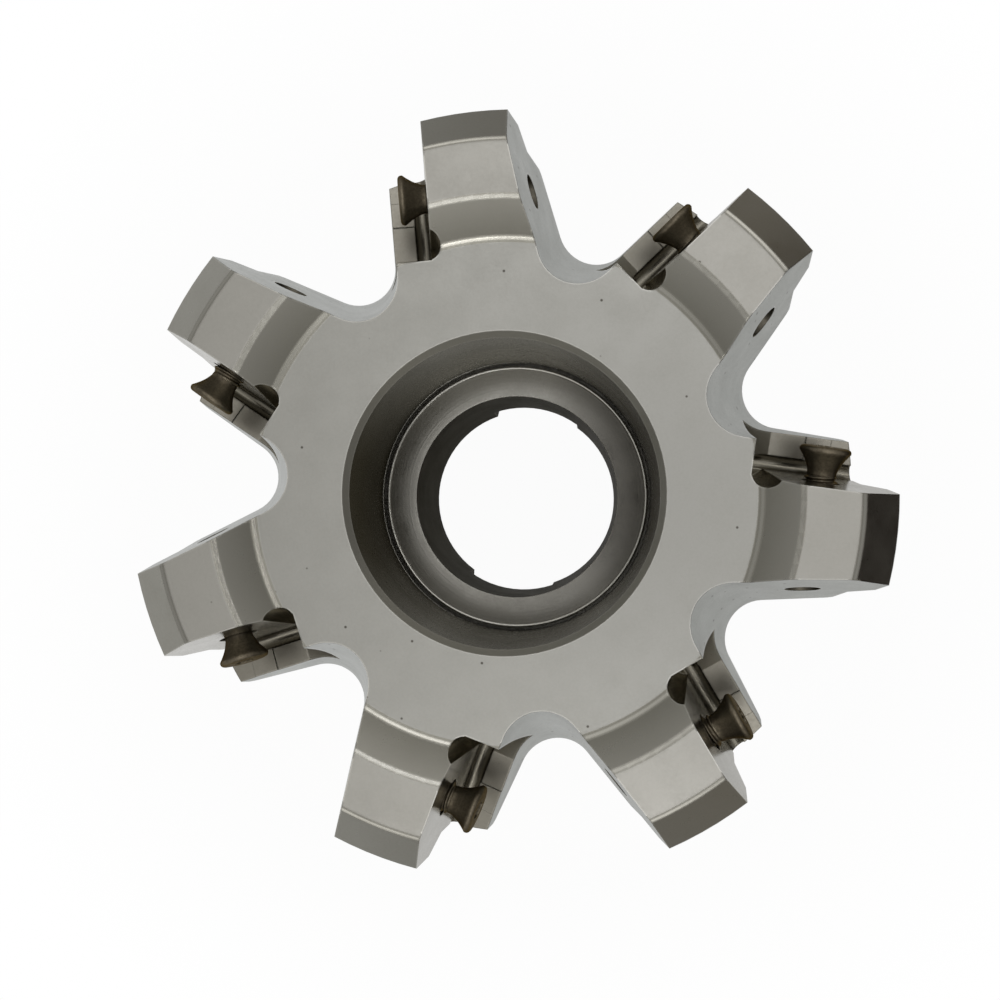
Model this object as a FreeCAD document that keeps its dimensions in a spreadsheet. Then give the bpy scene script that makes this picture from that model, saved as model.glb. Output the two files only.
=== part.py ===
import FreeCAD, Part
import math
import os
import re

import Sketcher
from FreeCAD import Vector

# Indexable face mill with seven insert pockets, all lengths in millimetres, all angles in degrees.
# The origin lies on the cutter's axis, in the face that rests on the arbor.
# +Z points to the workpiece, and the first arm points along +Y.
# The other arms follow clockwise as seen from the workpiece.

SIZES = {
    # The turned blank, from the arbor side to the arms
    "body_height": 49.0,
    "hub_diameter": 60.0,
    "hub_edge_break": 1.0,
    "bore_diameter": 27.0,
    "bore_edge_break": 0.8,
    "recess_shelf": 4.3,
    "recess_depth": 22.9,
    "recess_chamfer": 0.7,
    "corner_groove_depth": 0.45,
    "corner_groove_height": 1.5,
    "corner_groove_drop": 0.45,
    "shelf_edge_gap": 0.25,
    "shelf_edge_break": 0.25,
    "rim_diameter": 88.6,
    "rim_chamfer_width": 4.95,
    "rim_chamfer_drop": 4.8,
    "rim_band": 5.3,
    "arm_top_width": 6.48,
    "arm_ramp_width": 3.84,
    "arm_rise": 3.5,
    "ramp_root_ease": 0.45,
    "arm_top_ease": 0.36,
    "rim_edge_ease": 0.2,
    "neck_step": 2.4,
    "neck_length": 7.1,
    "neck_edge_ease": 0.54,
    "back_cone_angle": 33.1,
    # The slot for the arbor's drive keys
    "slot_width": 12.4,
    "slot_depth": 7.0,
    "slot_turn": 13.7,
    # The chip gullets between the arms
    "teeth": 7,
    "arm_side": 9.9,
    "flank_taper": 7.7,
    "gullet_lean": 18.8,
    "gullet_radius": 4.9,
    # The insert pockets, placed by the screw hole's centre in the seat
    "seat_inset": 8.6,
    "seat_drop": 7.99,
    "seat_side": 6.33,
    "seat_tilt": 7.5,
    "pocket_wall": 8.45,
    "ledge_drop": 9.15,
    "relief_floor_width": 3.52,
    "relief_floor_fall": 1.5,
    "land_centre": 0.82,
    "land_width": 3.05,
    "land_rise": 0.3,
    "foot_groove_radius": 0.97,
    "foot_groove_offset": 0.8,
    "relief_hole_diameter": 3.2,
    "relief_hole_offset": 0.5,
    "relief_hole_drop": 0.4,
    # The insert screws
    "thread_diameter": 4.0,
    "thread_clearance": 0.04,
    "hole_mouth_diameter": 4.5,
    "hole_mouth_depth": 0.45,
    "head_diameter": 5.75,
    "head_face_diameter": 5.0,
    "head_face_rise": 0.45,
    "head_rim": 0.15,
    "head_cone_length": 2.3,
    "screw_neck_diameter": 3.3,
    "screw_neck_length": 0.55,
    "screw_length": 10.6,
    "screw_tip": 0.5,
    "star_depth": 1.3,
    "star_lobes": 6,
    "star_tip_radius": 1.4,
    "star_root_radius": 1.05,
    "star_flat_angle": 9.0,
}

# Places that follow from the sizes
PLACES = {
    "bore_radius": "bore_diameter / 2",
    "recess_radius": "bore_radius + recess_shelf",
    "hub_radius": "hub_diameter / 2",
    "rim_radius": "rim_diameter / 2",
    "arm_top_outside": "rim_radius - rim_chamfer_width",
    "arm_top_inside": "arm_top_outside - arm_top_width",
    "arm_root": "arm_top_inside - arm_ramp_width",
    "neck_radius": "rim_radius - neck_step",
    "face_level": "body_height - arm_rise",
    "shelf_level": "face_level - recess_depth",
    "rim_top": "body_height - rim_chamfer_drop",
    "rim_bottom": "rim_top - rim_band",
    # each corner of the arm's section is eased by as much along both its sides
    "ramp_angle": "atan(arm_rise / arm_ramp_width) / 1 deg",
    "chamfer_angle": "atan(rim_chamfer_drop / rim_chamfer_width) / 1 deg",
    "neck_top": "rim_bottom - neck_step",
    "neck_bottom": "neck_top - neck_length",
    "hub_top": "neck_bottom - (neck_radius - hub_radius) * tan(back_cone_angle)",
    "pitch": "360 / teeth",
    # seen from the front, a gullet's sides open evenly about its middle line
    "gullet_turn": "90 - (pitch - flank_taper) / 2",
    "half_opening": "(pitch + flank_taper) / 2",
    "gullet_vertex": "arm_side / sin(half_opening) * cos(gullet_lean)",
    "wall_slope": "tan(half_opening) / cos(gullet_lean)",
    "wall_angle": "atan(wall_slope) / 1 deg",
    "gullet_centre": "gullet_vertex + gullet_radius / sin(wall_angle)",
    "gullet_reach": "rim_radius + rim_chamfer_width",
    "seat_radius": "rim_radius - seat_inset",
    "seat_level": "body_height - seat_drop",
    "hole_reach": "2 * arm_side",
    "pocket_outside": "seat_inset + rim_chamfer_width",
    "pocket_top": "2 * seat_drop",
    "pocket_foot": "ledge_drop + relief_floor_fall",
    "screw_diameter": "thread_diameter - 2 * thread_clearance",
    "lobe_turn": "360 / star_lobes",
}

# How far each screw is backed out: its head's rim stands off the seat by this much
SCREW_STANDS = (2.84, 3.11, 3.62, 3.75, 3.46, 2.77, 3.76)

# The seat's own frame on the first arm: x into the arm, y out along it, z up the seat
SEAT = "placement(vector(0 - seat_side; seat_radius; seat_level); rotationy(seat_tilt))"
FULL_TURN = 360.0

doc = FreeCAD.newDocument("face_mill")
sheet = doc.addObject("Spreadsheet::Sheet", "Sizes")
CELLS = {name: str(size) for name, size in SIZES.items()}
CELLS.update({name: "=" + rule for name, rule in PLACES.items()})
for row, (name, text) in enumerate(CELLS.items(), start=1):
    sheet.set("A%d" % row, name)
    sheet.set("B%d" % row, text)
    sheet.setAlias("B%d" % row, name)
doc.recompute()


def spell(formula):
    """Turns the names of sizes in a formula into references to their cells."""
    return re.sub("[a-z_]+", lambda word: "Sizes." + word[0] if word[0] in CELLS else word[0], formula)


def bind(target, path, formula):
    target.setExpression(path, spell(formula))


def new_sketch(body, name, place="placement(vector(0; 0; 0); rotationz(0))"):
    """A sketch placed in the body's frame by a formula."""
    sketch = body.newObject("Sketcher::SketchObject", name)
    plane = [feature for feature in body.Origin.OriginFeatures if feature.Role == "XY_Plane"][0]
    sketch.AttachmentSupport = [(plane, "")]
    sketch.MapMode = "FlatFace"
    bind(sketch, "AttachmentOffset", place)
    return sketch


def constrain(sketch, formula, kind, *where):
    """Adds one dimension to a sketch and ties it to a formula."""
    value = float(sketch.evalExpression(spell(formula)))
    index = sketch.addConstraint(Sketcher.Constraint(kind, *where, value))
    bind(sketch, "Constraints[%d]" % index, formula)


def pin(sketch, edge, point, across, up):
    """Fixes one point of a sketch at its distances from the sketch's origin."""
    constrain(sketch, across, "DistanceX", -1, 1, edge, point)
    constrain(sketch, up, "DistanceY", -1, 1, edge, point)


def arc_middle(start, end, radius):
    """The middle of an arc between two points; a positive radius bulges to the right."""
    chord = end - start
    sideways = Vector(chord.y, -chord.x, 0).normalize()
    sagitta = abs(radius) - math.sqrt(radius ** 2 - chord.Length ** 2 / 4)
    return (start + end) / 2 + sideways * math.copysign(sagitta, radius)


def draw_outline(sketch, corners):
    """A closed outline; a corner with a third formula starts an arc of that radius."""
    points = []
    for corner in corners:
        across, up = (float(sketch.evalExpression(spell(formula))) for formula in corner[:2])
        points.append(Vector(across, up, 0))
    count = len(corners)
    for number, corner in enumerate(corners):
        start = points[number]
        end = points[(number + 1) % count]
        if len(corner) == 2:
            sketch.addGeometry(Part.LineSegment(start, end), False)
        else:
            radius = float(sketch.evalExpression(spell(corner[2])))
            sketch.addGeometry(Part.Arc(start, arc_middle(start, end, radius), end), False)
    for number, corner in enumerate(corners):
        start = start_point(sketch, number, points[number])
        before = (number - 1) % count
        join = 3 - start_point(sketch, before, points[before])
        sketch.addConstraint(Sketcher.Constraint("Coincident", before, join, number, start))
        pin(sketch, number, start, corner[0], corner[1])
        if len(corner) == 3:
            constrain(sketch, "abs(" + corner[2] + ")", "Radius", number)


def start_point(sketch, edge, place):
    """Which end of an edge lies at a place: 1 for its first, 2 for its second."""
    return 1 if sketch.getPoint(edge, 1).distanceToPoint(place) < 1e-6 else 2


def draw_circle(sketch, across, up, diameter):
    centre = Vector(*(float(sketch.evalExpression(spell(formula))) for formula in (across, up)), 0)
    radius = float(sketch.evalExpression(spell(diameter))) / 2
    circle = sketch.addGeometry(Part.Circle(centre, Vector(0, 0, 1), radius), False)
    pin(sketch, circle, 3, across, up)
    constrain(sketch, diameter, "Diameter", circle)


def revolve(body, name, sketch):
    """Turns a section once round its own vertical axis."""
    feature = body.newObject("PartDesign::Revolution", name)
    feature.Profile = sketch
    feature.ReferenceAxis = (sketch, ["V_Axis"])
    feature.Angle = FULL_TURN
    feature.Refine = False
    doc.recompute()
    return feature


def cut(body, name, sketch, depth, forwards=False):
    """Cuts a sketch's outline out of the body, against the sketch's normal or along it."""
    before = body.Shape.Volume
    feature = body.newObject("PartDesign::Pocket", name)
    feature.Profile = sketch
    bind(feature, "Length", depth)
    feature.Reversed = forwards
    feature.Refine = False
    doc.recompute()
    if body.Shape.Volume >= before:
        raise ValueError(name + " cuts nothing")
    return feature


def repeat(body, name, features, count):
    """Repeats features evenly round the body's own vertical axis."""
    pattern = body.newObject("PartDesign::PolarPattern", name)
    axis = [feature for feature in body.Origin.OriginFeatures if feature.Role == "Z_Axis"][0]
    pattern.Originals = features
    pattern.Axis = (axis, [""])
    pattern.Angle = FULL_TURN
    pattern.Refine = False
    bind(pattern, "Occurrences", count)
    body.Tip = pattern
    doc.recompute()


def turned_blank(body):
    """The blank as it leaves the lathe: hub, bore, screw recess, raised rim and back cone."""
    sketch = new_sketch(body, "blank_section", "placement(vector(0; 0; 0); rotationx(90))")
    draw_outline(sketch, [
        ("bore_radius + bore_edge_break", "0"),
        ("bore_radius", "bore_edge_break"),
        ("bore_radius", "shelf_level"),
        ("recess_radius - shelf_edge_gap - shelf_edge_break", "shelf_level"),
        ("recess_radius - shelf_edge_gap", "shelf_level - shelf_edge_break"),
        ("recess_radius - shelf_edge_gap", "shelf_level - corner_groove_drop"),
        ("recess_radius + corner_groove_depth", "shelf_level - corner_groove_drop"),
        ("recess_radius + corner_groove_depth", "shelf_level + corner_groove_height"),
        ("recess_radius", "shelf_level + corner_groove_height + corner_groove_depth"),
        ("recess_radius", "face_level - recess_chamfer"),
        ("recess_radius + recess_chamfer", "face_level"),
        ("arm_root - ramp_root_ease", "face_level"),
        ("arm_root + ramp_root_ease * cos(ramp_angle)",
         "face_level + ramp_root_ease * sin(ramp_angle)"),
        ("arm_top_inside - arm_top_ease * cos(ramp_angle)",
         "body_height - arm_top_ease * sin(ramp_angle)"),
        ("arm_top_inside + arm_top_ease", "body_height"),
        ("arm_top_outside - arm_top_ease", "body_height"),
        ("arm_top_outside + arm_top_ease * cos(chamfer_angle)",
         "body_height - arm_top_ease * sin(chamfer_angle)"),
        ("rim_radius - rim_edge_ease * cos(chamfer_angle)",
         "rim_top + rim_edge_ease * sin(chamfer_angle)"),
        ("rim_radius", "rim_top - rim_edge_ease"),
        ("rim_radius", "rim_bottom"),
        ("neck_radius", "neck_top"),
        ("neck_radius", "neck_bottom + neck_edge_ease"),
        ("neck_radius - neck_edge_ease * cos(back_cone_angle)",
         "neck_bottom - neck_edge_ease * sin(back_cone_angle)"),
        ("hub_radius", "hub_top"),
        ("hub_radius", "hub_edge_break"),
        ("hub_radius - hub_edge_break", "0"),
    ])
    revolve(body, "blank", sketch)


def drive_slot(body):
    """The slot across the back face that fits the arbor's two drive keys."""
    sketch = new_sketch(body, "slot_outline", "placement(vector(0; 0; 0); rotationz(0 - slot_turn))")
    draw_outline(sketch, [
        ("slot_width / 2", "hub_diameter"),
        ("0 - slot_width / 2", "hub_diameter"),
        ("0 - slot_width / 2", "0 - hub_diameter"),
        ("slot_width / 2", "0 - hub_diameter"),
    ])
    cut(body, "slot", sketch, "slot_depth", forwards=True)


def chip_gullet(body):
    """One chip gullet: a round-bottomed V whose floor runs outwards towards the back."""
    tilt = "rotationz(gullet_turn) * rotationy(0 - gullet_lean)"
    sketch = new_sketch(body, "gullet_outline", "placement(vector(0; 0; face_level); " + tilt + ")")
    tangent = "gullet_centre - gullet_radius * sin(wall_angle)"
    side = "gullet_radius * cos(wall_angle)"
    far_side = "(gullet_reach - gullet_vertex) * wall_slope"
    draw_outline(sketch, [
        (tangent, side, "gullet_radius"),
        (tangent, "0 - " + side),
        ("gullet_reach", "0 - " + far_side),
        ("gullet_reach", far_side),
    ])
    return cut(body, "gullet", sketch, "body_height")


def seat_sketch(body, name, shift, turn):
    """A sketch placed in the seat's frame by a shift and a turn."""
    return new_sketch(body, name, SEAT + " * placement(vector(" + shift + "); " + turn + ")")


def insert_pocket(body):
    """The pocket's seat, its inner wall, and the ledge with a raised land and a relief floor."""
    sketch = seat_sketch(body, "pocket_outline", "0; 0; 0", "rotationz(90) * rotationx(90)")
    relief_end = "relief_floor_width - pocket_wall"
    land_start = "land_centre - land_width / 2"
    land_end = "land_centre + land_width / 2"
    draw_outline(sketch, [
        ("0 - pocket_wall", "pocket_top"),
        ("0 - pocket_wall", "0 - pocket_foot"),
        (relief_end, "0 - ledge_drop"),
        (land_start, "0 - ledge_drop"),
        (land_start, "land_rise - ledge_drop"),
        (land_end, "land_rise - ledge_drop"),
        (land_end, "0 - ledge_drop"),
        ("pocket_outside", "0 - ledge_drop"),
        ("pocket_outside", "pocket_top"),
    ])
    return cut(body, "pocket", sketch, "arm_side")


def foot_groove(body):
    """The half-round groove along the foot of the seat, clear of the insert's edge."""
    sketch = seat_sketch(body, "foot_groove_outline", "0; 0 - pocket_wall; 0", "rotationx(90)")
    draw_circle(sketch, "0 - foot_groove_offset", "0 - ledge_drop", "2 * foot_groove_radius")
    return cut(body, "foot_groove", sketch, "pocket_wall + pocket_outside")


def corner_relief(body):
    """The relief hole down the corner between the seat and the pocket's inner wall."""
    sketch = seat_sketch(body, "relief_outline", "0; 0; 0 - ledge_drop - relief_hole_drop",
                         "rotationz(0)")
    draw_circle(sketch, "0 - relief_hole_offset", "relief_hole_diameter / 2 - pocket_wall",
                "relief_hole_diameter")
    return cut(body, "corner_relief", sketch, "3 * seat_drop", forwards=True)


def screw_hole(body):
    """The threaded hole through the arm, square to the seat, with a wider mouth."""
    turn = "rotationz(90) * rotationx(90)"
    sketch = seat_sketch(body, "screw_hole_outline", "0; 0; 0", turn)
    draw_circle(sketch, "0", "0", "thread_diameter")
    hole = cut(body, "screw_hole", sketch, "hole_reach", forwards=True)
    mouth_sketch = seat_sketch(body, "hole_mouth_outline", "0; 0; 0", turn)
    draw_circle(mouth_sketch, "0", "0", "hole_mouth_diameter")
    mouth = cut(body, "hole_mouth", mouth_sketch, "hole_mouth_depth", forwards=True)
    return [hole, mouth]


def cutter_body():
    """The one-piece body: turned, then milled and drilled arm by arm."""
    body = doc.addObject("PartDesign::Body", "CutterBody")
    body.Label = "cutter_body"
    turned_blank(body)
    drive_slot(body)
    features = [chip_gullet(body)]
    features.append(insert_pocket(body))
    features.append(foot_groove(body))
    features.append(corner_relief(body))
    features.extend(screw_hole(body))
    repeat(body, "arms", features, "teeth")
    return body


def insert_screw(number):
    """One insert screw, backed out of its hole; its own origin lies in its head's rim."""
    body = doc.addObject("PartDesign::Body", "InsertScrew%d" % number)
    body.Label = "insert_screw_%d" % number
    section = new_sketch(body, "screw_section", "placement(vector(0; 0; 0); rotationx(90))")
    draw_outline(section, [
        ("0", "head_face_rise"),
        ("0", "0 - screw_length"),
        ("screw_diameter / 2 - screw_tip", "0 - screw_length"),
        ("screw_diameter / 2", "screw_tip - screw_length"),
        ("screw_diameter / 2", "0 - head_cone_length - screw_neck_length"),
        ("screw_neck_diameter / 2", "0 - head_cone_length - screw_neck_length"),
        ("screw_neck_diameter / 2", "0 - head_cone_length"),
        ("head_diameter / 2", "0 - head_rim"),
        ("head_diameter / 2", "0"),
        ("head_face_diameter / 2", "head_face_rise"),
    ])
    revolve(body, "screw", section)
    star_drive(body)
    stand = SCREW_STANDS[(number - 1) % len(SCREW_STANDS)]
    arm = "placement(vector(0; 0; 0); rotationz(0 - pitch * %d))" % (number - 1)
    head = "placement(vector(%g; 0; 0); rotationy(0 - 90))" % -stand
    bind(body, "Placement", arm + " * " + SEAT + " * " + head)
    return body


def star_drive(body):
    """The star-shaped drive recess in the screw's face, a flat at each lobe's tip and root."""
    sketch = new_sketch(body, "star_outline", "placement(vector(0; 0; head_face_rise); rotationz(0))")
    corners = []
    for lobe in range(int(sheet.star_lobes)):
        for radius, turn in (("star_tip_radius", "%d * lobe_turn - star_flat_angle"),
                             ("star_tip_radius", "%d * lobe_turn + star_flat_angle"),
                             ("star_root_radius", "(%d + 0.5) * lobe_turn - star_flat_angle"),
                             ("star_root_radius", "(%d + 0.5) * lobe_turn + star_flat_angle")):
            angle = turn % lobe
            corners.append((radius + " * cos(" + angle + ")", radius + " * sin(" + angle + ")"))
    draw_outline(sketch, corners)
    cut(body, "star", sketch, "star_depth")


pieces = [cutter_body()]
for number in range(1, int(sheet.teeth) + 1):
    pieces.append(insert_screw(number))
doc.recompute()

for item in doc.Objects:
    if "Invalid" in item.State or "Error" in item.State:
        raise RuntimeError(item.Label + " has failed")
os.makedirs("parts", exist_ok=True)
for piece in pieces:
    if piece.Shape.isNull() or not piece.Shape.isValid() or len(piece.Shape.Solids) != 1:
        raise RuntimeError(piece.Label + " is not one sound solid")
    piece.Shape.exportStep(os.path.join("parts", piece.Label + ".step"))
    print(piece.Label, "volume", round(piece.Shape.Volume, 1))
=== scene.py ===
# %% [markdown]
# # A face mill in used steel
#
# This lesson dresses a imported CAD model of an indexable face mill: a steel cutter body with
# seven arms, each with a milled pocket for a carbide insert, and seven small screws that
# would hold the inserts. The inserts are out and the screws stand backed out of their holes.
# The CAD solids already carry the form, so the work here is in the light, in the finish that
# each machining step leaves on steel, in one thin bead and in the screws' threads.

import math

import bmesh
import bpy
from mathutils import Matrix, Vector


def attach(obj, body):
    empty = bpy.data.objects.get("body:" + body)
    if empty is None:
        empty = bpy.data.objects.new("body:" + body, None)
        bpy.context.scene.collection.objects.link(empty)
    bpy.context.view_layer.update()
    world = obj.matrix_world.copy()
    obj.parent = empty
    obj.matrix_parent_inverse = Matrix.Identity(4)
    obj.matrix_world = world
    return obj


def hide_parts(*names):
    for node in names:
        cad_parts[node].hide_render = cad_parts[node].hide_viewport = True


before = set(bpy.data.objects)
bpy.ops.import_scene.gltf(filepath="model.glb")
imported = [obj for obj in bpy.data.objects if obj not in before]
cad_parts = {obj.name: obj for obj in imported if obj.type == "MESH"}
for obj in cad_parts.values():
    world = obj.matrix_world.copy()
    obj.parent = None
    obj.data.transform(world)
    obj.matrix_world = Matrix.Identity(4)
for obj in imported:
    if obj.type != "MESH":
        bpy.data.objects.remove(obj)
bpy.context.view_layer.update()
print("packed nodes:", sorted(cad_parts))

# %% [markdown]
# ## Sizes
#
# Blender works in metres and a toolmaker thinks in millimetres, so every real size is given
# in millimetres and multiplied once. The cutter's axis is Z, its back face lies at zero, and
# the first arm points along +Y. Each arm carries its own frame: x runs square into the seat,
# y runs out along the arm, and z runs up the seat. The screws and the seats are found in it.

# %% The arm's own frame
MM = 0.001
ARMS = 7
# levels above the back face and radii, in millimetres
BODY_HEIGHT = 49.0
FACE_LEVEL = 45.5
SHELF_LEVEL = 22.6
RIM_RADIUS = 44.3
BORE_RADIUS = 13.5
HUB_RADIUS = 30.0
RECESS_RADIUS = 17.8
RAMP_START = 29.2
RAMP_END = 32.9
# the first seat's middle in millimetres, and its lean in degrees
SEAT_CENTRE = (-6.33, 35.7, 41.01)
SEAT_TILT = 7.5


def seat_frame(arm):
    """Where an arm's seat lies, as a matrix in metres; the arms follow clockwise."""
    turn = Matrix.Rotation(-arm * math.tau / ARMS, 4, "Z")
    tilt = Matrix.Rotation(math.radians(SEAT_TILT), 4, "Y")
    return turn @ Matrix.Translation(Vector(SEAT_CENTRE) * MM) @ tilt


SEATS = [seat_frame(arm) for arm in range(ARMS)]
print("seats at", [tuple(round(v / MM, 1) for v in seat.translation) for seat in SEATS])

# %% [markdown]
# ## Colours and nodes
#
# A colour picked from a swatch is an sRGB value, while the renderer adds up light in linear
# values. One function turns the first into the second. A second function adds a shader node,
# sets its properties and fills its sockets with values or with the outputs of other nodes.

# %% Colour and node helpers
def linear(swatch):
    """The linear colour of an sRGB hex swatch."""
    channels = [int(swatch[i:i + 2], 16) / 255 for i in (1, 3, 5)]
    return [c / 12.92 if c < 0.04045 else ((c + 0.055) / 1.055) ** 2.4 for c in channels] + [1.0]


def add(tree, kind, sockets=None, **properties):
    """Adds one node; each socket gets a value, or a link where it is another node's output."""
    node = tree.nodes.new(kind)
    for name, value in properties.items():
        setattr(node, name, value)
    for socket, value in (sockets or {}).items():
        if isinstance(value, bpy.types.NodeSocket):
            tree.links.new(value, node.inputs[socket])
        else:
            node.inputs[socket].default_value = value
    return node


print("a mid grey in linear light:", [round(c, 3) for c in linear("#808080")])

# %% [markdown]
# ## The camera
#
# The picture looks almost straight down the axis from close by, so the arms that are nearer
# the lens look larger than the recess floor. A viewpoint found by matching the bore, the
# recess and the arm tips stands 168 mm above the back face. The picture's upright direction
# is turned a little from the first arm. The camera's three axes are built from these.

# %% Camera
CAMERA_PLACE = Vector((9.68, -3.39, 168.14)) * MM
CAMERA_AIM = Vector((-0.341, -0.751, FACE_LEVEL)) * MM
PICTURE_TURN = math.radians(4.932)
SENSOR_WIDTH = 36.0
FOCAL_LENGTH = 39.07
NEAREST_SEEN = 10 * MM

forward = (CAMERA_AIM - CAMERA_PLACE).normalized()
upright = Vector((math.sin(PICTURE_TURN), math.cos(PICTURE_TURN), 0))
right = forward.cross(upright).normalized()
lens = bpy.data.cameras.new("picture_camera")
lens.sensor_width = SENSOR_WIDTH
lens.lens = FOCAL_LENGTH
lens.clip_start = NEAREST_SEEN
camera = bpy.data.objects.new("picture_camera", lens)
axes = Matrix((right, right.cross(forward), -forward)).transposed()
camera.matrix_world = Matrix.Translation(CAMERA_PLACE) @ axes.to_4x4()
bpy.context.scene.collection.objects.link(camera)
bpy.context.scene.camera = camera
print("camera stands", round((CAMERA_PLACE - CAMERA_AIM).length / MM), "mm from its aim")

# %% [markdown]
# ## Floor
#
# The cutter lies on a white sheet of paper. The sheet is a diffuse white that takes the
# shadow, mixed with a white glow that only the lens and the reflections in the steel see. So
# the background is white without any more light on the steel, and a trace of shadow stays.
# Towards the sheet's border the glow takes over, so that its edge doesn't show. The steel
# mirrors part glow and part lit paper, so the cutter's own shadow dims what it mirrors, and
# the glow that it mirrors is stronger on the left than on the right.
# The sheet is small: past it, the steel's outer cones mirror the dim room.

# %% White floor
FLOOR_SIZE = 0.2
LENS_GLOW = 0.96
MIRROR_GLOW_LEFT = 0.66
MIRROR_GLOW_RIGHT = 0.34
MIRROR_LEFT = -0.05
MIRROR_RIGHT = 0.04
FLOOR_PLAIN_RADIUS = 0.06
FLOOR_DROP = 0.05 * MM

floor_mesh = bpy.data.meshes.new("white_sheet")
half = FLOOR_SIZE / 2
floor_mesh.from_pydata([(-half, -half, 0), (half, -half, 0), (half, half, 0), (-half, half, 0)],
                       [], [(0, 1, 2, 3)])
floor = bpy.data.objects.new("white_sheet", floor_mesh)
floor.location.z = -FLOOR_DROP
bpy.context.scene.collection.objects.link(floor)

paper = bpy.data.materials.new("matt_white_paper")
paper.use_nodes = True
tree = paper.node_tree
tree.nodes.clear()
rays = add(tree, "ShaderNodeLightPath")
mirrored = add(tree, "ShaderNodeMath", {0: rays.outputs["Is Glossy Ray"],
                                        1: rays.outputs["Is Transmission Ray"]},
               operation="ADD").outputs[0]
spot = add(tree, "ShaderNodeTexCoord").outputs["Object"]
away = add(tree, "ShaderNodeVectorMath", {0: spot}, operation="LENGTH").outputs["Value"]
level = add(tree, "ShaderNodeMapRange", {"Value": away, "From Min": FLOOR_PLAIN_RADIUS,
                                         "From Max": FLOOR_SIZE / 2, "To Min": LENS_GLOW,
                                         "To Max": 1.0}).outputs[0]
lens_share = add(tree, "ShaderNodeMath", {0: rays.outputs["Is Camera Ray"], 1: level},
                 operation="MULTIPLY").outputs[0]
sheet_x = add(tree, "ShaderNodeSeparateXYZ", {0: spot}).outputs["X"]
mirror_level = add(tree, "ShaderNodeMapRange", {"Value": sheet_x, "From Min": MIRROR_LEFT,
                                                "From Max": MIRROR_RIGHT,
                                                "To Min": MIRROR_GLOW_LEFT,
                                                "To Max": MIRROR_GLOW_RIGHT}).outputs[0]
share = add(tree, "ShaderNodeMath", {0: mirrored, 1: mirror_level, 2: lens_share},
            operation="MULTIPLY_ADD", use_clamp=True)
matt = add(tree, "ShaderNodeBsdfDiffuse", {"Color": linear("#F4F4F4")})
glow = add(tree, "ShaderNodeEmission", {"Color": linear("#FFFFFF"), "Strength": 1.0})
mixed = add(tree, "ShaderNodeMixShader", {0: share.outputs[0], 1: matt.outputs[0],
                                          2: glow.outputs[0]})
add(tree, "ShaderNodeOutputMaterial", {"Surface": mixed.outputs[0]})
floor.data.materials.append(paper)
print("paper", FLOOR_SIZE, "m wide")

# %% [markdown]
# ## Studio light
#
# Bare metal shows its surroundings more than its own colour. A level steel face looks light
# because it mirrors a bright tent overhead, and a face at 45 degrees looks dark because it
# mirrors the dim side of the room. So the world is a soft dome. Straight overhead is the
# dark round of the camera. About it hangs the tent's brightest cloth, which dims to both
# sides. Near the horizon the left is lighter, and the right ends in a dark brown card,
# which turns the chamfer on that side nearly black. The lens itself sees plain white.
#
# Five thin strip lights hang at the places that the cutter's rounded corners mirror into
# the lens. Each draws a fine bright line along the corners that face it: the three high
# ones at the ramps' roots and tops, the two low ones at the outer corners.

# %% Dome of light and lamps
world = bpy.data.worlds.new("studio_dome")
bpy.context.scene.world = world
world.use_nodes = True
tree = world.node_tree
tree.nodes.clear()

LAMP_DISTANCE = 600
LAMP_WHITE = "#FFFDF8"
# brightness over the sideways part of the direction, -1..1 laid on 0..1
TENT = ((0.0, "#949390"), (0.26, "#A4A39F"), (0.33, "#C8C7C3"), (0.41, "#F1F0EC"),
        (0.475, "#FFFFFC"), (0.58, "#FFFFFF"), (0.62, "#CFCEC9"), (0.67, "#AEADA9"),
        (1.0, "#949390"))
TENT_END = "#A2A19D"
ROOM = ((0.0, "#C5C5C2"), (0.25, "#AEAEAB"), (0.5, "#8B8A86"), (0.72, "#848078"),
        (0.84, "#6C6558"), (0.94, "#150B04"))
LENS_DARK = "#2A251C"
# the way to the camera's dark round, and how far from it the dark ends and the cloth is full
LENS_WAY = (0.02, 0.01, 1.0)
LENS_CORE = 0.06
LENS_EDGE = 0.11
# where the tent dims, out to both ends, and where it gives way to the room, going down
TENT_DIMS = 0.4
TENT_DIMMED = 0.8
TENT_FOOT = 0.3
ROOM_HEAD = -0.1
direction = add(tree, "ShaderNodeTexCoord").outputs["Generated"]
parts = add(tree, "ShaderNodeSeparateXYZ", {0: direction})
sideways = add(tree, "ShaderNodeMapRange", {"Value": parts.outputs["X"], "From Min": -1.0,
                                            "From Max": 1.0}).outputs[0]
tent = add(tree, "ShaderNodeValToRGB", {0: sideways})
room = add(tree, "ShaderNodeValToRGB", {0: sideways})
for ramp, stops in ((tent, TENT), (room, ROOM)):
    elements = ramp.color_ramp.elements
    elements[0].position, elements[1].position = stops[0][0], stops[-1][0]
    for place, _ in stops[1:-1]:
        elements.new(place)
    for element, (place, swatch) in zip(elements, stops):
        element.color = linear(swatch)

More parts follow.
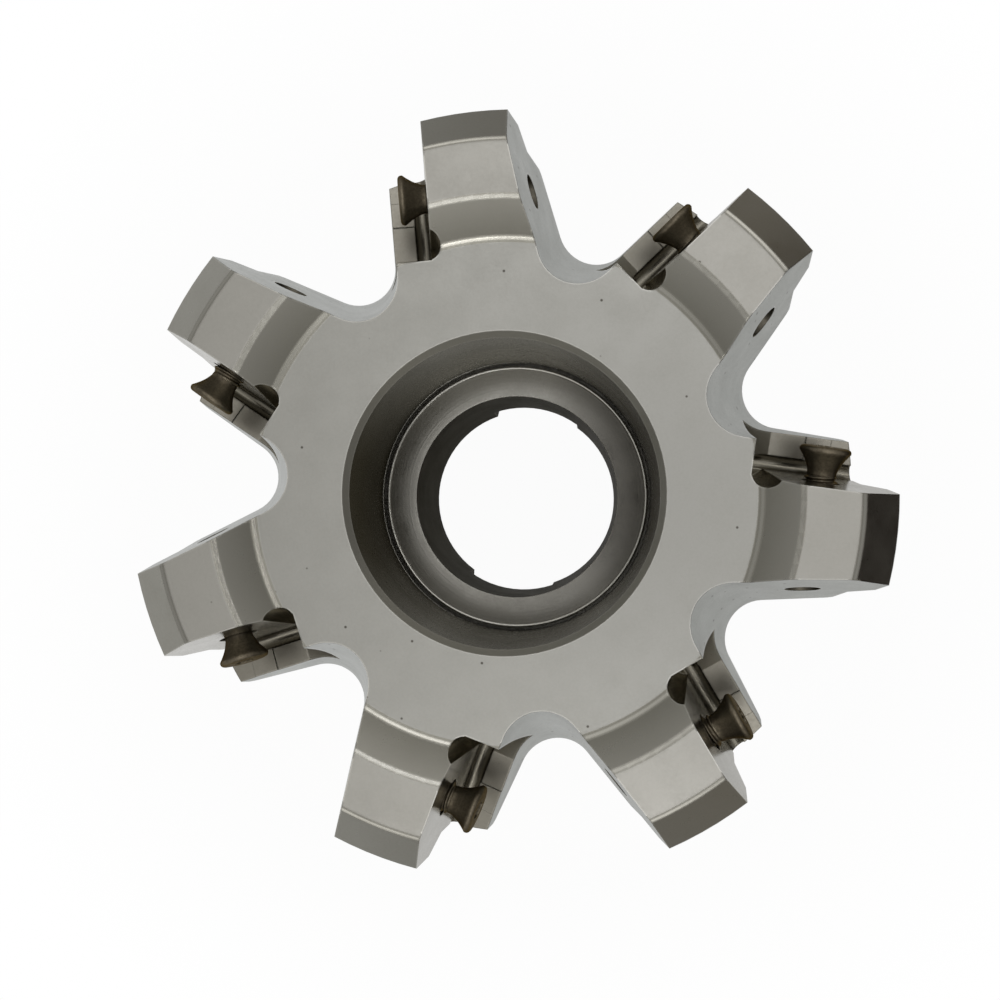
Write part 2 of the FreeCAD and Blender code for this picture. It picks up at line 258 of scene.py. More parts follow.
# the dark round of the camera itself, straight overhead
from_lens = add(tree, "ShaderNodeVectorMath", {0: direction, 1: LENS_WAY},
                operation="DISTANCE").outputs["Value"]
dark_round = add(tree, "ShaderNodeMapRange", {"Value": from_lens, "From Min": LENS_CORE,
                                              "From Max": LENS_EDGE, "To Min": 1.0,
                                              "To Max": 0.0}).outputs[0]
along = add(tree, "ShaderNodeMath", {0: parts.outputs["Y"]}, operation="ABSOLUTE").outputs[0]
past = add(tree, "ShaderNodeMapRange", {"Value": along, "From Min": TENT_DIMS,
                                        "From Max": TENT_DIMMED}).outputs[0]
cloth = add(tree, "ShaderNodeMix", {0: past, 6: tent.outputs[0], 7: linear(TENT_END)},
            data_type="RGBA").outputs[2]
overhead = add(tree, "ShaderNodeMix", {0: dark_round, 6: cloth, 7: linear(LENS_DARK)},
               data_type="RGBA").outputs[2]
low = add(tree, "ShaderNodeMapRange", {"Value": parts.outputs["Z"], "From Min": TENT_FOOT,
                                       "From Max": ROOM_HEAD}, interpolation_type="SMOOTHSTEP")
dome = add(tree, "ShaderNodeMix", {0: low.outputs[0], 6: overhead, 7: room.outputs[0]},
           data_type="RGBA")
rays = add(tree, "ShaderNodeLightPath")
studio = add(tree, "ShaderNodeBackground", {"Color": dome.outputs[2], "Strength": 1.0})
plain = add(tree, "ShaderNodeBackground", {"Color": linear("#FFFFFF"), "Strength": 1.0})
mixed = add(tree, "ShaderNodeMixShader", {0: rays.outputs["Is Camera Ray"],
                                          1: studio.outputs[0], 2: plain.outputs[0]})
add(tree, "ShaderNodeOutputWorld", {"Surface": mixed.outputs[0]})


def strip_lamp(name, azimuth, off_top, length, width, power):
    """A long softbox laid along a circle above the cutter: degrees, millimetres, watts."""
    lamp = bpy.data.lights.new(name, "AREA")
    lamp.shape = "RECTANGLE"
    lamp.size = length * MM
    lamp.size_y = width * MM
    lamp.energy = power
    lamp.color = linear(LAMP_WHITE)[:3]
    holder = bpy.data.objects.new(name, lamp)
    middle = Vector((0, 0, FACE_LEVEL)) * MM
    away = Matrix.Rotation(math.radians(azimuth), 3, "Z") @ Matrix.Rotation(
        math.radians(off_top), 3, "Y") @ Vector((0, 0, LAMP_DISTANCE * MM))
    holder.location = middle + away
    holder.rotation_euler = (-away).to_track_quat("-Z", "Y").to_euler()
    bpy.context.scene.collection.objects.link(holder)


strip_lamp("near_strip_light", -83, 27, 380, 32, 0.125)
strip_lamp("far_strip_light", 62, 27, 340, 28, 0.045)
strip_lamp("right_strip_light", 12, 26.5, 330, 26, 0.08)
strip_lamp("low_near_strip_light", -94.6, 59.3, 780, 80, 0.14)
strip_lamp("low_far_strip_light", 69.2, 60.3, 780, 80, 0.14)

scene = bpy.context.scene
scene.view_settings.view_transform = "Standard"

# %% [markdown]
# ## Sorting the body's faces by how they were made
#
# On the real cutter each surface carries the marks of its last operation: the face and cones
# are turned, the recess and bore are bored, the gullets are milled with a round cutter, the
# seats are finished flat and glossy, and the holes are drilled and tapped. The CAD body stays
# as it is. Each of its faces is given to a finish by its place and direction, looked up in
# the arm's own frame where it belongs to an arm.

# %% Which finish a face gets
FINISHES = ("turned_face", "arm_top", "turned_ramp", "turned_cone", "bored_recess",
            "recess_floor", "bored_hole", "milled_gullet", "finished_seat", "pocket_ledge",
            "foot_groove", "tapped_hole", "turned_back")

# the pocket's parts in the seat's own frame, in millimetres
POCKET_HALF_SIZES = (10.5, 11.0, 12.0)
HOLE_MOUTH_RADIUS = 2.35
SEAT_FLATNESS = 0.05
GROOVE_X = -0.8
GROOVE_Z = -9.15
GROOVE_REACH = 1.0
LEDGE_BOTTOM = -11.2
LEDGE_TOP = -8.7
RELIEF_X = -0.5
RELIEF_Y = -6.85
RELIEF_REACH = 1.65
RELIEF_FOOT = -9.8
INNER_WALL = -8.3

# the turned parts, with margins that take in a surface's own chamfer or rounded corner
BORE_REACH = BORE_RADIUS + 0.9
BORE_TOP = SHELF_LEVEL - 0.1
RECESS_REACH = RECESS_RADIUS + 0.8
RECESS_FOOT = SHELF_LEVEL - 0.5
FLOOR_REACH = RECESS_RADIUS + 0.3
FRONT_DEPTH = FACE_LEVEL - 2
RIM_REACH = RIM_RADIUS - 0.1
BACK_CHAMFER = 1.2
HUB_TOLERANCE = 0.02

# parts of a normal along an axis: square to it, nearly square, and looking mostly up
SQUARE = 0.999
NEARLY_SQUARE = 0.98
MOSTLY_UP = 0.6


def pocket_finish(centre, normal):
    """The finish of a face inside an insert pocket, or None where it isn't in one."""
    for seat in SEATS:
        place = seat.inverted() @ centre / MM
        facing = seat.to_3x3().inverted() @ normal
        if any(abs(part) > half for part, half in zip(place, POCKET_HALF_SIZES)):
            continue
        if math.hypot(place.y, place.z) < HOLE_MOUTH_RADIUS and abs(facing.x) < 0.9:
            return "tapped_hole"
        if abs(place.x) < SEAT_FLATNESS and facing.x < -NEARLY_SQUARE:
            return "finished_seat"
        if math.hypot(place.x - GROOVE_X, place.z - GROOVE_Z) < GROOVE_REACH:
            return "foot_groove"
        if facing.z > 0.9 and LEDGE_BOTTOM < place.z < LEDGE_TOP and place.x < 0:
            return "pocket_ledge"
        in_relief = math.hypot(place.x - RELIEF_X, place.y - RELIEF_Y) < RELIEF_REACH
        if in_relief and place.z > RELIEF_FOOT:
            return "foot_groove"
        if place.x < 0 and place.y < INNER_WALL and facing.y > 0.99:
            return "finished_seat"
    return None


def finish_of(centre, normal, on_hub):
    """The finish of one face of the body, from its centre, its normal and if it's on the hub."""
    reach = math.hypot(centre.x, centre.y) / MM
    height = centre.z / MM
    outward = (normal.x * centre.x + normal.y * centre.y) / max(reach * MM, 1e-9)
    if reach < BORE_REACH and height < BORE_TOP:
        return "bored_hole"
    if reach < RECESS_REACH and height > RECESS_FOOT and normal.z < MOSTLY_UP:
        return "bored_recess"
    if reach < FLOOR_REACH and height < FRONT_DEPTH and normal.z > MOSTLY_UP:
        return "recess_floor"
    if normal.z > SQUARE and height > FACE_LEVEL - 0.01:
        return "turned_face" if height < BODY_HEIGHT - 1 else "arm_top"
    found = pocket_finish(centre, normal)
    if found:
        return found
    if height > FRONT_DEPTH and 0.4 < normal.z < NEARLY_SQUARE and abs(outward) > 0.2:
        return "turned_ramp" if reach < RAMP_END else "turned_cone"
    if on_hub or reach > RIM_REACH or height < BACK_CHAMFER or normal.z < -0.5:
        return "turned_back"
    return "milled_gullet"


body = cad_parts["cutter_body"]
normals = body.data.corner_normals
points = body.data.vertices
names = []
for face in body.data.polygons:
    facing = sum((normals[corner].vector for corner in face.loop_indices), Vector())
    reaches = [points[corner].co.xy.length / MM for corner in face.vertices]
    on_hub = max(abs(reach - HUB_RADIUS) for reach in reaches) < HUB_TOLERANCE
    names.append(finish_of(face.center, facing.normalized(), on_hub))
for finish in FINISHES:
    print(finish, names.count(finish), "triangles")

# %% [markdown]
# ## Machined steel
#
# The body is alloy steel, hardened and left bare: a warm grey metal with a satin sheen. The
# same few things vary from one surface to the next: how rough it is, which way the tool
# marks run and how far apart they lie, and how dark it is. So one function makes the
# material, and its arguments say what the operation left and where light or shade is
# painted into the colour. Handling has rubbed the edges bright, and a painted highlight adds
# to that: the Bevel node rounds the shading over the last fraction of a millimetre, and
# where it bends the normal away from the flat face the metal is lighter and smoother.
#
# A finishing cut leaves marks some 0.15 mm apart. That is too fine to show in the picture, so
# most are drawn coarser, 0.3 to 0.5 mm apart. Only the seats, the bead and the screws keep
# marks 0.12 to 0.2 mm apart. All are at most a few microns high. They don't show as lines,
# but they draw each reflection out across the marks, as turning does.

# %% The steel
# the soft corners' radii in millimetres: ramp roots, ramp tops and the outer chamfers
SOFT_RINGS = (29.03, 32.87, 39.35)
# noise cells in a millimetre: patches about 4.5 mm across, then a grain of 0.3 mm
PATCH_SCALE = 0.22
GRAIN_SCALE = 3.5
# pits, in millimetres from their middle: fully dark to the core, gone at the edge
PIT_BROWN = "#3B352C"
PIT_CORE = 0.1
PIT_EDGE = 0.2
# painted shade on the recess: where round it the shade starts and is full, its most, and the near
# side's share
PAINTED_SHADE_BROWN = "#38332A"
PAINTED_SHADE_START = 0.35
PAINTED_SHADE_FULL = 0.95
PAINTED_SHADE_MOST = 0.54
PAINTED_SHADE_NEAR = 0.65
# a softer corner: its rounding and its reach on both sides of the ring, in millimetres
SOFT_ROUNDING = 0.32
SOFT_START = 0.6
SOFT_END = 0.9
# the polished line on it, and how much of its shine is also painted into the metal's colour as a
# painted highlight
LINE_CORE = 0.08
LINE_EDGE = 0.24
LINE_SHINE = 0.9
LINE_LIGHT = 0.45
# how far the rounded normal agrees with the flat one where the rubbed edge, lightened partly as a
# painted highlight, is full and where it ends
WEAR_AND_SHEEN_FULL = 0.85
WEAR_AND_SHEEN_END = 0.99
WEAR_AND_SHEEN_MOST = 0.7
WEAR_ROUGHNESS = 0.12
# how far the rounded normal lifts where the painted shade line under an edge starts and is full
EDGE_SHADE_START = 0.08
EDGE_SHADE_FULL = 0.25
EDGE_SHADE_MOST = 0.9


def machined_steel(name, metal, stain, rub_and_sheen, roughness, lay, spacing, depth, mottle=0.25,
                   edge=0.25, pits=None, rings=(), glance="#FFFFFF", painted_shade=None, painted_edge_shade=None,
                   brighter=None):
    """Bare steel with tool marks.

    metal, stain and rub are the swatches of the clean face, its darker patches and its
    rubbed edges, whose lighter colour is partly a painted highlight. lay is the way the marks
    run, round the axis or stacked along it. spacing and depth are the marks' distance and
    height in millimetres, edge the rubbed edge's width. pits are the strength, distance in
    millimetres and upward drawing of dark pits, rings the radii of softer turned corners,
    whose polished line is also painted lighter as a highlight, and glance the metal's tint at
    a glancing angle. film says where a brown painted shade darkens the recess, lip is the
    swatch of a painted shade line under the upper edge, and brighter is the swatch of painted
    light at the outer end of a ramp.
    """
    steel = bpy.data.materials.new(name)
    steel.use_nodes = True
    tree = steel.node_tree
    tree.nodes.clear()
    spot = add(tree, "ShaderNodeTexCoord").outputs["Object"]
    to_mm = add(tree, "ShaderNodeVectorMath", {0: spot, 1: (1 / MM,) * 3},
                operation="MULTIPLY").outputs[0]

    # broad patches, then a grain
    patches = add(tree, "ShaderNodeTexNoise", {"Vector": to_mm, "Scale": PATCH_SCALE,
                                               "Detail": 5.0, "Roughness": 0.62}).outputs["Fac"]
    grain = add(tree, "ShaderNodeTexNoise", {"Vector": to_mm, "Scale": GRAIN_SCALE,
                                             "Detail": 3.0, "Roughness": 0.6}).outputs["Fac"]
    both = add(tree, "ShaderNodeMath", {0: patches, 1: grain}, operation="ADD").outputs[0]
    amount = add(tree, "ShaderNodeMapRange", {"Value": both, "From Min": 0.8, "From Max": 1.35,
                                              "To Min": 0.0, "To Max": mottle}).outputs[0]
    colour = add(tree, "ShaderNodeMix", {0: amount, 6: linear(metal), 7: linear(stain)},
                 data_type="RGBA").outputs[2]
    if brighter:
        # painted shading: the ramp goes from its own colour at the root to the lighter swatch at
        # its top
        out = add(tree, "ShaderNodeVectorMath", {0: to_mm, 1: (1.0, 1.0, 0.0)},
                  operation="MULTIPLY").outputs[0]
        out = add(tree, "ShaderNodeVectorMath", {0: out}, operation="LENGTH").outputs["Value"]
        up = add(tree, "ShaderNodeMapRange", {"Value": out, "From Min": RAMP_START,
                                              "From Max": RAMP_END}).outputs[0]
        colour = add(tree, "ShaderNodeMix", {0: up, 6: colour, 7: linear(brighter)},
                     data_type="RGBA").outputs[2]
    if pits:
        # dark pits, 0.2 mm wide and faded out at 0.4 mm; drawn above 1 makes them taller
        strength, pit_gap, drawn = pits
        cells = add(tree, "ShaderNodeVectorMath", {0: to_mm, 1: (
            1 / pit_gap, 1 / pit_gap, 1 / pit_gap / drawn)}, operation="MULTIPLY").outputs[0]
        off = add(tree, "ShaderNodeTexVoronoi", {"Vector": cells, "Scale": 1.0,
                                                 "Randomness": 1.0}).outputs["Distance"]
        dark = add(tree, "ShaderNodeMapRange", {"Value": off, "From Min": PIT_CORE / pit_gap,
                                                "From Max": PIT_EDGE / pit_gap,
                                                "To Min": strength, "To Max": 0.0}).outputs[0]
        colour = add(tree, "ShaderNodeMix", {0: dark, 6: colour, 7: linear(PIT_BROWN)},
                     data_type="RGBA").outputs[2]
    if painted_shade:
        # painted shade: a darker brown on the right and the near side of the recess, and on the
        # left too where both sides are asked for
        around = add(tree, "ShaderNodeVectorMath", {0: spot, 1: (1.0, 1.0, 0.0)},
                     operation="MULTIPLY").outputs[0]
        around = add(tree, "ShaderNodeVectorMath", {0: around}, operation="NORMALIZE").outputs[0]
        around = add(tree, "ShaderNodeSeparateXYZ", {0: around})
        aside = around.outputs["X"]
        if painted_shade == "both sides":
            aside = add(tree, "ShaderNodeMath", {0: aside}, operation="ABSOLUTE").outputs[0]
        below = add(tree, "ShaderNodeMath", {0: around.outputs["Y"], 1: -PAINTED_SHADE_NEAR},
                    operation="MULTIPLY").outputs[0]
        aside = add(tree, "ShaderNodeMath", {0: aside, 1: below}, operation="MAXIMUM").outputs[0]
        painted_shade_amount = add(tree, "ShaderNodeMapRange", {"Value": aside, "From Min": PAINTED_SHADE_START,
                                                 "From Max": PAINTED_SHADE_FULL, "To Min": 0.0,
                                                 "To Max": PAINTED_SHADE_MOST}).outputs[0]
        colour = add(tree, "ShaderNodeMix", {0: painted_shade_amount, 6: colour, 7: linear(PAINTED_SHADE_BROWN)},
                     data_type="RGBA").outputs[2]
        tint = add(tree, "ShaderNodeMix", {0: painted_shade_amount, 6: linear(glance), 7: linear(PAINTED_SHADE_BROWN)},
                   data_type="RGBA").outputs[2]

    # tool marks: an uneven ripple across the lay
    apart = add(tree, "ShaderNodeSeparateXYZ", {0: to_mm})
    if lay == "round":
        flat = add(tree, "ShaderNodeCombineXYZ", {0: apart.outputs[0], 1: apart.outputs[1]})
        across = add(tree, "ShaderNodeVectorMath", {0: flat.outputs[0]},
                     operation="LENGTH").outputs["Value"]
    else:
        across = apart.outputs[2]
    marks = add(tree, "ShaderNodeTexNoise", {"W": across, "Scale": 1 / spacing, "Detail": 2.0,
                                             "Roughness": 0.7},
                noise_dimensions="1D").outputs["Fac"]
    relief = add(tree, "ShaderNodeMath", {0: marks, 1: grain}, operation="ADD").outputs[0]

    # the rounded, rubbed edge, whose lighter colour is partly a painted highlight
    reach = edge * MM
    if rings:
        near = None
        for ring in rings:
            off = add(tree, "ShaderNodeMath", {0: across, 1: ring}, operation="SUBTRACT")
            off = add(tree, "ShaderNodeMath", {0: off.outputs[0]}, operation="ABSOLUTE").outputs[0]
            near = off if near is None else add(tree, "ShaderNodeMath", {0: near, 1: off},
                                                operation="MINIMUM").outputs[0]
        reach = add(tree, "ShaderNodeMapRange", {"Value": near, "From Min": SOFT_START,
                                                 "From Max": SOFT_END,
                                                 "To Min": SOFT_ROUNDING * MM,
                                                 "To Max": edge * MM}).outputs[0]
        past_ring = add(tree, "ShaderNodeMapRange", {"Value": near, "From Min": SOFT_START,
                                                     "From Max": SOFT_END}).outputs[0]
        on_ring = add(tree, "ShaderNodeMapRange", {"Value": near, "From Min": LINE_CORE,
                                                   "From Max": LINE_EDGE,
                                                   "To Min": LINE_SHINE,
                                                   "To Max": 0.0}).outputs[0]
    rounded = add(tree, "ShaderNodeBevel", {"Radius": reach}, samples=4).outputs[0]
    flat_way = add(tree, "ShaderNodeNewGeometry").outputs["Normal"]
    agree = add(tree, "ShaderNodeVectorMath", {0: rounded, 1: flat_way},
                operation="DOT_PRODUCT").outputs["Value"]
    wear_and_sheen = add(tree, "ShaderNodeMapRange", {"Value": agree, "From Min": WEAR_AND_SHEEN_FULL,
                                            "From Max": WEAR_AND_SHEEN_END, "To Min": WEAR_AND_SHEEN_MOST,
                                            "To Max": 0.0}).outputs[0]
    shine = wear_and_sheen
    if rings:
        # a soft corner is polished more than it's lightened, the lightening being a painted
        # highlight; past it the rubbed edge keeps the flat normal and shows only as a lighter
        # colour, partly a painted highlight
        shine = add(tree, "ShaderNodeMath", {0: wear_and_sheen, 1: on_ring}, operation="MAXIMUM").outputs[0]
        light = add(tree, "ShaderNodeMath", {0: on_ring, 1: LINE_LIGHT}, operation="MULTIPLY")
        wear_and_sheen = add(tree, "ShaderNodeMath", {0: wear_and_sheen, 1: light.outputs[0]},
                   operation="MAXIMUM").outputs[0]
        rounded = add(tree, "ShaderNodeMix", {0: past_ring, 4: rounded, 5: flat_way},
                      data_type="VECTOR").outputs[1]
    # the rubbed edge is lighter: wear, and partly a painted highlight
    colour = add(tree, "ShaderNodeMix", {0: wear_and_sheen, 6: colour, 7: linear(rub_and_sheen)},
                 data_type="RGBA").outputs[2]
    if painted_edge_shade:
        # painted shade: where the wall's top bends upwards in the rounded shading, a dark line is
        # painted in
        lifted = add(tree, "ShaderNodeVectorMath", {0: rounded, 1: flat_way},
                     operation="SUBTRACT").outputs[0]
        lifted = add(tree, "ShaderNodeSeparateXYZ", {0: lifted}).outputs["Z"]
        under = add(tree, "ShaderNodeMapRange", {"Value": lifted, "From Min": EDGE_SHADE_START,
                                                 "From Max": EDGE_SHADE_FULL, "To Min": 0.0,
                                                 "To Max": EDGE_SHADE_MOST}).outputs[0]
        colour = add(tree, "ShaderNodeMix", {0: under, 6: colour, 7: linear(painted_edge_shade)},
                     data_type="RGBA").outputs[2]
        tint = add(tree, "ShaderNodeMix", {0: under, 6: linear(glance), 7: linear(painted_edge_shade)},
                   data_type="RGBA").outputs[2]
        rounded = flat_way
    gloss = add(tree, "ShaderNodeMapRange", {"Value": both, "From Min": 0.7, "From Max": 1.4,
                                             "To Min": roughness - 0.05,
                                             "To Max": roughness + 0.08}).outputs[0]
    gloss = add(tree, "ShaderNodeMix", {0: shine, 2: gloss, 3: WEAR_ROUGHNESS},
                data_type="FLOAT").outputs[0]
    bump = add(tree, "ShaderNodeBump", {"Strength": 1.0, "Distance": depth * MM,
                                        "Height": relief, "Normal": rounded}).outputs[0]
    surface = add(tree, "ShaderNodeBsdfPrincipled", {
        "Base Color": colour, "Metallic": 1.0, "Roughness": gloss, "Normal": bump,
        "Specular Tint": linear(glance)}).outputs[0]
    if painted_shade or painted_edge_shade:
        tree.links.new(tint, surface.node.inputs["Specular Tint"])
    add(tree, "ShaderNodeOutputMaterial", {"Surface": surface})
    return steel


# %% [markdown]
# ## The body's finishes
#
# A turned face has marks round the axis. A bored wall has them stacked along it. The seats
# are glossy, the relief grooves beside them hold old oil, and the back is turned more
# coarsely than the front. The recess and the bore are a darker steel than the face and
# their walls mirror each other; the recess also carries a brown painted shade on its sides.

# %% Steel for each operation
body_steels = {
    # a level, light satin grey with a few small dark pits and bright hairlines at its edges,
    # rubbed and partly a painted highlight
    "turned_face": machined_steel("steel_turned_face", "#B4B3AF", "#A4A39E", "#ECEBE6",
                                  0.34, "round", 0.35, 0.003, edge=0.3, rings=SOFT_RINGS,
                                  pits=(0.8, 3.4, 1.0)),
    # the same cut on the arms, rubbed a little lighter, with the same few pits
    "arm_top": machined_steel("steel_arm_top", "#B8B6B1", "#A6A49E", "#ECEBE6",
                              0.34, "round", 0.35, 0.003, edge=0.3, rings=SOFT_RINGS,
                              pits=(0.8, 3.4, 1.0)),
    # a dark band with painted shading that goes lighter towards the arm's top
    "turned_ramp": machined_steel("steel_turned_ramp", "#A09E96", "#8F8C83", "#E0DED8",
                                  0.32, "round", 0.3, 0.003, edge=0.3, rings=SOFT_RINGS,
                                  brighter="#BAB8B1"),
    # the outer chamfers, an even grey that goes from light to nearly black round the cutter
    "turned_cone": machined_steel("steel_turned_cone", "#AEACA5", "#9C988F", "#E0DED8",
                                  0.32, "round", 0.3, 0.003, edge=0.3, rings=SOFT_RINGS),
    # smooth and deep, with a brown painted shade on its sides
    "bored_recess": machined_steel("steel_bored_recess", "#7A7872", "#5F5C56", "#A09E96",
                                   0.26, "along", 0.3, 0.0004, glance="#D4D3CE",
                                   painted_shade="both sides"),
    # a glossy ring that mirrors the tent and the dark camera round, with a brown painted shade on
    # its right and near side
    "recess_floor": machined_steel("steel_recess_floor", "#A3A19C", "#8A8780", "#D0CEC5",
                                   0.2, "round", 0.4, 0.003, painted_shade="one side"),
    # the darkest steel: a dull bore
    "bored_hole": machined_steel("steel_bored_hole", "#4E4D48", "#393733", "#8F8D85",
                                 0.38, "along", 0.3, 0.005, glance="#8C8A84"),
    # cool pale grey walls with scattered dark pits and a painted shade line under the upper edge
    "milled_gullet": machined_steel("steel_milled_gullet", "#A6A9A6", "#949692", "#A6A9A6",
                                    0.32, "along", 0.5, 0.002, edge=0.5, pits=(0.7, 1.7, 3.0),
                                    painted_edge_shade="#2E2D29"),
    # flat and glossy, so it shows the screw and the pocket beside it
    "finished_seat": machined_steel("steel_finished_seat", "#A3A19A", "#8E8B80", "#CFCDC6",
                                    0.2, "along", 0.12, 0.001, mottle=0.15),
    # a duller shelf under the seat
    "pocket_ledge": machined_steel("steel_pocket_ledge", "#A5A198", "#878276", "#C4C1B8",
                                   0.32, "round", 0.3, 0.003),
    # round grooves, oily brown with a long bright streak down each
    "foot_groove": machined_steel("steel_foot_groove", "#8C887E", "#655F53", "#B5B1A6",
                                  0.22, "round", 0.3, 0.002, glance="#B4AFA3"),
    # a dark mouth with a soft brown inside
    "tapped_hole": machined_steel("steel_tapped_hole", "#6A665D", "#4A463E", "#9B978C",
                                  0.36, "round", 0.3, 0.003, glance="#8A8778"),
    # the coarser hub, rim and back, a shade darker than the front
    "turned_back": machined_steel("steel_turned_back", "#A7A5A0", "#8E8B83", "#C9C7C0",
                                  0.36, "along", 0.45, 0.005),
}
body.data.materials.clear()
for finish in FINISHES:
    body.data.materials.append(body_steels[finish])
for face, finish in zip(body.data.polygons, names):
    face.material_index = FINISHES.index(finish)
print("body has", len(body.data.materials), "finishes")

# %% [markdown]
# ## The bright line in the recess
#
# Where the recess meets its floor, the tool left a thin rounded bead beside the groove. It
# is the brightest line inside the cutter. The bead is a ring of small circles, each a
# quarter of a millimetre in radius, sunk to its middle in the floor. Its steel is glossy,
# and its colour is lighter than the floor's, partly a painted highlight, so it catches the
# tent from every side.

# %% Bead beside the corner groove
BEAD_RADIUS = 17.3
BEAD_SIZE = 0.25
AROUND = 160
SIDES = 12
beads = []
for step in range(AROUND):
    turn = math.tau * step / AROUND
    for side in range(SIDES):
        tilt = math.tau * side / SIDES
        reach = (BEAD_RADIUS + BEAD_SIZE * math.cos(tilt)) * MM
        rise = (SHELF_LEVEL + BEAD_SIZE * math.sin(tilt)) * MM
        beads.append((reach * math.cos(turn), reach * math.sin(turn), rise))
quads = []
for step in range(AROUND):
    for side in range(SIDES):
        here, ahead = step * SIDES, (step + 1) % AROUND * SIDES
        beside = (side + 1) % SIDES
        quads.append((here + side, ahead + side, ahead + beside, here + beside))
bead_mesh = bpy.data.meshes.new("recess_bead")
bead_mesh.from_pydata(beads, [], quads)
bead_mesh.polygons.foreach_set("use_smooth", [True] * len(quads))
# the bead's light steel colour is partly a painted highlight
bead_mesh.materials.append(machined_steel("steel_bright_bead", "#D6D4CE", "#B5B2AA", "#E2E0DA",
                                          0.14, "round", 0.2, 0.002, mottle=0.3))
bead = bpy.data.objects.new("recess_bead", bead_mesh)
bpy.context.scene.collection.objects.link(bead)
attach(bead, "root")
print("bead of", len(quads), "faces at radius", BEAD_RADIUS, "mm")

# %% [markdown]
# ## An insert screw
#
# The real screw is turned and thread-rolled: a countersunk head with a star recess, a short
# neck and a fine thread. It is built as a stack of rings of points, from the middle of the
# recess, out over the head and down the thread to the tip. Each ring gives a radius for
# every angle, so the same few lines make the star's six lobes and the thread's helix.

# %% Screw sizes and the thread's form
HEAD_RADIUS = 2.875
HEAD_FACE_RADIUS = 2.42
HEAD_FACE_RISE = 0.45
HEAD_RIM = 0.15
HEAD_CONE_LENGTH = 2.45
NECK_RADIUS = 1.65
NECK_LENGTH = 0.4
SCREW_LENGTH = 10.6
TIP_CHAMFER = 0.5
CREST_RADIUS = 1.96
THREAD_PITCH = 0.7
THREAD_DEPTH = 0.4
STAR_DEPTH = 1.3
STAR_RADIUS = 1.24
STAR_WAVE = 0.15
RING_POINTS = 72
ROWS_PER_TURN = 12
# the thread's flat crest and its flank in parts of half a pitch, and its run-out in pitches
CREST_SHARE = 0.14
FLANK_SHARE = 0.66
RUN_OUT = 0.6
# the head's slight crown, the hollow of its cone and the dimple under the star
HEAD_CROWN = 0.02
CONE_HOLLOW = 0.16
CONE_RINGS = 8
STAR_DIMPLE = 0.1
SHARP_ANGLE = math.radians(38)


def thread_radius(height, angle):
    """The screw's radius at a height on its axis, in the thread: flat crests, sloping flanks."""
    phase = (height / THREAD_PITCH - angle / math.tau) % 1.0
    flank = min(max((abs(phase - 0.5) * 2 - CREST_SHARE) / FLANK_SHARE, 0.0), 1.0)
    top = -HEAD_CONE_LENGTH - NECK_LENGTH
    fade = min(max((top - height) / (RUN_OUT * THREAD_PITCH), 0.0), 1.0)
    crest = NECK_RADIUS + (CREST_RADIUS - NECK_RADIUS) * fade
    radius = max(crest - THREAD_DEPTH * flank, CREST_RADIUS - THREAD_DEPTH)
    return min(radius, CREST_RADIUS - TIP_CHAMFER + (height + SCREW_LENGTH))


def star_radius(angle, shrink=0.0):
    """The star recess's outline, six lobes round a core."""
    return STAR_RADIUS + STAR_WAVE * math.cos(6 * angle) - shrink


def screw_rings():
    """Heights and radii of the rings, from the recess floor to the tip."""
    rings = []
    floor_level = HEAD_FACE_RISE - STAR_DEPTH
    rings.append((floor_level, lambda a: 0.5 * star_radius(a)))
    rings.append((floor_level + 0.05, lambda a: star_radius(a, 0.1)))
    rings.append((floor_level + 0.15, lambda a: star_radius(a, 0.02)))
    rings.append((HEAD_FACE_RISE - 0.07, lambda a: star_radius(a)))
    rings.append((HEAD_FACE_RISE - 0.01, lambda a: star_radius(a, -0.06)))
    for step in (0.25, 0.6, 1.0):
        rings.append((HEAD_FACE_RISE - HEAD_CROWN * step, lambda a, s=step:
                      star_radius(a, -0.1) * (1 - s) + HEAD_FACE_RADIUS * s))
    for step in (15, 35, 55, 75, 90):
        swing = math.radians(step)
        out = HEAD_FACE_RADIUS + (HEAD_RADIUS - HEAD_FACE_RADIUS) * math.sin(swing)
        drop = (HEAD_FACE_RISE - HEAD_CROWN) * (1 - math.cos(swing))
        rings.append((HEAD_FACE_RISE - HEAD_CROWN - drop, lambda a, r=out: r))
    rings.append((-HEAD_RIM, lambda a: HEAD_RADIUS))
    for step in range(1, CONE_RINGS + 1):
        share = step / CONE_RINGS
        height = -HEAD_RIM - (HEAD_CONE_LENGTH - HEAD_RIM) * share
        hollow = CONE_HOLLOW * math.sin(math.pi * share)
        width = HEAD_RADIUS + (NECK_RADIUS - HEAD_RADIUS) * share - hollow
        rings.append((height, lambda a, r=width: r))
    top = -HEAD_CONE_LENGTH - NECK_LENGTH
    rings.append((top + 0.02, lambda a: NECK_RADIUS))
    rows = round((SCREW_LENGTH + top) / THREAD_PITCH * ROWS_PER_TURN)
    for row in range(rows + 1):
        height = top + (-SCREW_LENGTH - top) * row / rows
        rings.append((height, lambda a, h=height: thread_radius(h, a)))
    return rings


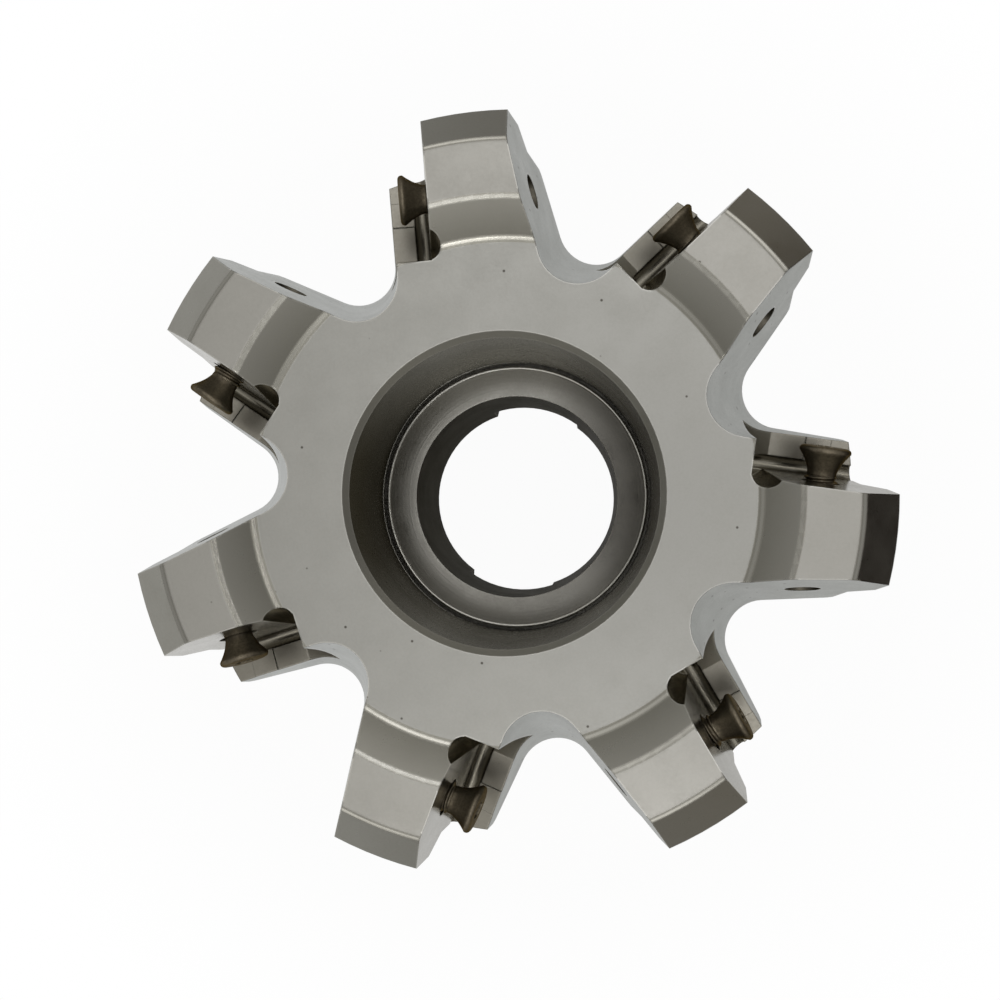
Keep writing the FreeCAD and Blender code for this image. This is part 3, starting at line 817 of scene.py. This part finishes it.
def screw_mesh():
    """One screw as a closed mesh in metres, its origin in the head's rim, its head upwards."""
    form = bmesh.new()
    rows = []
    for height, radius in screw_rings():
        row = []
        for point in range(RING_POINTS):
            angle = math.tau * point / RING_POINTS
            out = radius(angle)
            row.append(form.verts.new((out * math.cos(angle) * MM, out * math.sin(angle) * MM,
                                       height * MM)))
        rows.append(row)
    for above, below in zip(rows, rows[1:]):
        for point in range(RING_POINTS):
            beyond = (point + 1) % RING_POINTS
            form.faces.new((above[point], below[point], below[beyond], above[beyond]))
    dimple_level = HEAD_FACE_RISE - STAR_DEPTH - STAR_DIMPLE
    for row, height in ((rows[0], dimple_level), (rows[-1], -SCREW_LENGTH)):
        centre = form.verts.new((0, 0, height * MM))
        for point in range(RING_POINTS):
            form.faces.new((centre, row[point], row[(point + 1) % RING_POINTS]))
    bmesh.ops.recalc_face_normals(form, faces=form.faces)
    mesh = bpy.data.meshes.new("insert_screw")
    form.to_mesh(mesh)
    form.free()
    mesh.shade_smooth()
    mesh.set_sharp_from_angle(angle=SHARP_ANGLE)
    return mesh


screw = screw_mesh()
print("screw mesh:", len(screw.polygons), "faces")

# %% [markdown]
# ## Screw steel
#
# Insert screws are through-hardened and blackened in oil. On these the black has worn to a
# patchy bronze brown, and the crests of the thread and the rim of the head are lighter
# still: rubbed, and partly a painted highlight.

# %% Oil-blackened steel
# the lighter rims and crests are wear and partly a painted highlight
screw_steel = machined_steel("steel_oil_blackened", "#887F6F", "#595145", "#B0A795",
                             0.38, "along", 0.2, 0.002, mottle=0.7, edge=0.2,
                             glance="#878073")
screw.materials.append(screw_steel)

# %% [markdown]
# ## Placing the screws
#
# Each screw is backed out of its hole by a different number of turns, so its head stands a
# few millimetres off the seat, and its star and its thread are turned differently too.

# %% Seven screws
# how far each head stands off its seat, in millimetres
STANDS = (2.84, 3.11, 3.62, 3.75, 3.46, 2.77, 3.76)

for arm, stand in enumerate(STANDS):
    turns = Matrix.Rotation(-stand / THREAD_PITCH * math.tau, 4, "Z")
    lay_over = Matrix.Rotation(math.radians(-90), 4, "Y")
    piece = bpy.data.objects.new("backed_out_screw_%d" % (arm + 1), screw)
    piece.matrix_world = SEATS[arm] @ Matrix.Translation((-stand * MM, 0, 0)) @ lay_over @ turns
    scene.collection.objects.link(piece)
    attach(piece, "root")
    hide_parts("insert_screw_%d" % (arm + 1))
print("screws stand off their seats by", STANDS, "mm")
